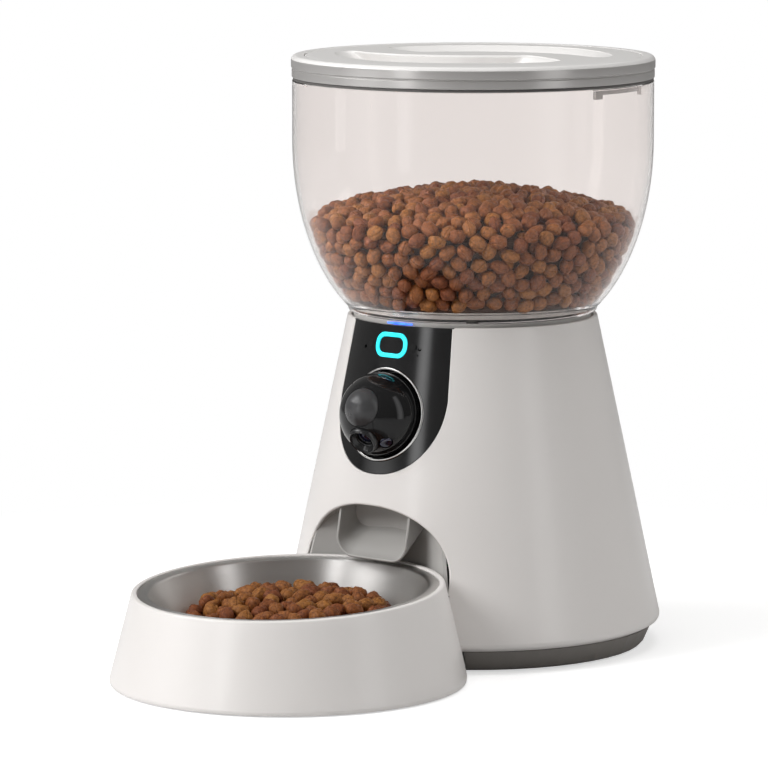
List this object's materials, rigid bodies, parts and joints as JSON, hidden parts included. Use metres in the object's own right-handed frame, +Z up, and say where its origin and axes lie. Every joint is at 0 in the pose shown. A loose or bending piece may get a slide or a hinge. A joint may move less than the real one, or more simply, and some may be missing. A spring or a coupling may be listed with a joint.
{
  "type": "pet feeder with camera",
  "caption": "Table-top pet feeder: a conical tower with a clear hopper, a rotor, a pan-tilt ball camera, a food chute and a steel bowl in a slide-out tilted holder.",
  "frame": {"origin": "on the floor, under the middle of the feeder's width and of its overall depth", "axes": "+Z up, -Y towards the bowl side where the animal feeds, +X to the feeder's left as it faces the animal"},
  "size_m": [0.232, 0.3956, 0.3627],
  "materials": {
    "warm_white_abs": "satin moulded ABS",
    "liner_white_abs": "matt moulded ABS",
    "dark_grey_abs": "fine spark-textured ABS",
    "gloss_black_panel": "polished, slightly see-through black acrylic",
    "gloss_black_ball": "polished black ABS",
    "smoked_dome": "smoked HDPE sensor dome",
    "coated_glass": "coated lens",
    "cyan_light_guide": "lit acrylic light guide",
    "clear_plastic": "clear moulded plastic",
    "black_rubber": "matt moulded rubber",
    "grey_silicone": "soft food-safe silicone",
    "brushed_steel": "spun and polished stainless steel",
    "zinc_plated_steel": "zinc plated",
    "kibble": "baked dry food pieces",
    "white_nylon": "moulded nylon",
    "circuit_board": "solder-masked board",
    "cell_wrap": "plain sleeved cell"
  },
  "bodies": {
    "root": {"tower_shell": "warm_white_abs", "base_cover": "dark_grey_abs", "base_screw_1": "zinc_plated_steel", "base_screw_2": "zinc_plated_steel", "base_screw_3": "zinc_plated_steel", "base_screw_4": "zinc_plated_steel", "rubber_foot_1": "black_rubber", "rubber_foot_2": "black_rubber", "rubber_foot_3": "black_rubber", "rubber_foot_4": "black_rubber", "battery_box": "dark_grey_abs", "battery_cell_1": "cell_wrap", "battery_cell_2": "cell_wrap", "battery_cell_3": "cell_wrap", "battery_door": "dark_grey_abs", "main_board": "circuit_board", "speaker": "dark_grey_abs", "power_inlet": "dark_grey_abs", "niche_liner": "liner_white_abs", "food_chute": "liner_white_abs", "hopper_deck": "warm_white_abs", "gear_housing": "white_nylon", "feed_motor": "zinc_plated_steel", "front_panel": "gloss_black_panel", "light_ring": "cyan_light_guide", "button_board": "circuit_board", "camera_ring": "dark_grey_abs", "camera_socket": "dark_grey_abs"},
    "drive": {"drive_gear": "white_nylon"},
    "pinion": {"motor_pinion": "white_nylon"},
    "hopper": {"hopper_tank": "clear_plastic", "hopper_floor": "liner_white_abs", "hopper_kibble": "kibble", "lid_catch_1": "clear_plastic", "lid_catch_2": "clear_plastic"},
    "rotor": {"feed_rotor": "grey_silicone"},
    "lid": {"lid_rim": "warm_white_abs", "lid_panel": "warm_white_abs", "lid_seal": "grey_silicone"},
    "camera_block": {"pan_block": "white_nylon"},
    "camera_ball": {"camera_front_shell": "gloss_black_ball", "camera_rear_shell": "gloss_black_ball", "motion_sensor_dome": "smoked_dome", "lens_barrel": "gloss_black_ball", "lens_glass": "coated_glass", "night_lamp_window": "coated_glass"},
    "button": {"feed_button": "gloss_black_panel"},
    "bowl": {"bowl_holder": "warm_white_abs", "steel_bowl": "brushed_steel", "bowl_kibble": "kibble", "holder_pad_1": "black_rubber", "holder_pad_2": "black_rubber", "holder_pad_3": "black_rubber"}
  },
  "joints": [
    {"name": "hopper_lift", "type": "slide", "parent": "root", "child": "hopper", "axis": [0, 0, 1], "range_m": [0, 0.06]},
    {"name": "lid_lift", "type": "slide", "parent": "hopper", "child": "lid", "axis": [0, 0, 1], "range_m": [0, 0.08]},
    {"name": "rotor_turn", "type": "hinge", "parent": "hopper", "child": "rotor", "pos_m": [0, 0.0818, 0.2201], "axis": [0, 0, 1], "continuous": true},
    {"name": "drive_turn", "type": "hinge", "parent": "root", "child": "drive", "pos_m": [0, 0.0818, 0.1906], "axis": [0, 0, 1], "continuous": true},
    {"name": "pinion_turn", "type": "hinge", "parent": "root", "child": "pinion", "pos_m": [0, 0.0988, 0.1906], "axis": [0, 0, 1], "continuous": true},
    {"name": "camera_pan", "type": "hinge", "parent": "root", "child": "camera_block", "pos_m": [0, -0.0055, 0.1504], "axis": [0, 0, 1], "range_deg": [-30, 30]},
    {"name": "camera_tilt", "type": "hinge", "parent": "camera_block", "child": "camera_ball", "pos_m": [0, -0.0055, 0.1504], "axis": [-1, 0, 0], "range_deg": [-5, 35]},
    {"name": "button_press", "type": "slide", "parent": "root", "child": "button", "axis": [0, 0.978, -0.2088], "range_m": [0, 0.0008], "stiffness_N_per_m": 900, "springref_m": -0.0012},
    {"name": "bowl_slide", "type": "slide", "parent": "root", "child": "bowl", "axis": [0, -1, 0], "range_m": [0, 0.07]}
  ],
  "couplings": [
    {"joint": "drive_turn", "follows": "rotor_turn", "ratio": 1},
    {"joint": "pinion_turn", "follows": "rotor_turn", "ratio": -2.4}
  ]
}
